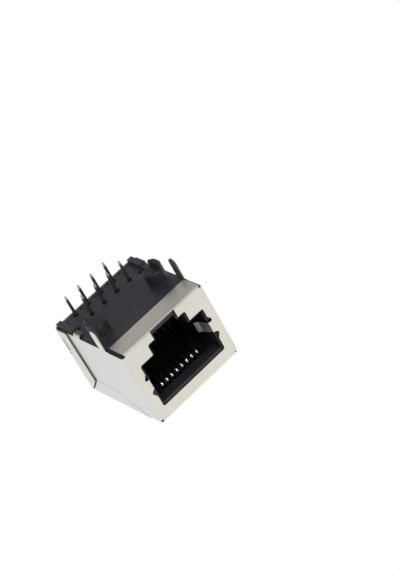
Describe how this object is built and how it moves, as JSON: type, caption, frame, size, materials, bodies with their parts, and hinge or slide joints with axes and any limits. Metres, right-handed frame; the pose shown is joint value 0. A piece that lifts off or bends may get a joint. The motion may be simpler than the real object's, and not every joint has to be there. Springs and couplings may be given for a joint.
{
  "type": "rj45 board jack",
  "caption": "Shielded modular jack for a circuit board: folded metal can over a plastic housing, with spring contacts in the port, staggered solder pins, locating posts and ground legs.",
  "frame": {"origin": "on the board, midway between the axes of the two locating posts", "axes": "+Z away from the circuit board; +X to the right when facing the port; +Y into the port, from the front plate to the back plate"},
  "size_m": [0.0165, 0.0171, 0.0165],
  "materials": {
    "shield": "nickel plated sheet, satin",
    "housing": "black moulded plastic",
    "carrier": "black moulded plastic",
    "contact": "plated spring wire"
  },
  "bodies": {
    "root": {"shield": "shield", "housing": "housing", "contact_carrier": "carrier", "contact_1": "contact", "contact_2": "contact", "contact_3": "contact", "contact_4": "contact", "contact_5": "contact", "contact_6": "contact", "contact_7": "contact", "contact_8": "contact"}
  },
  "joints": []
}
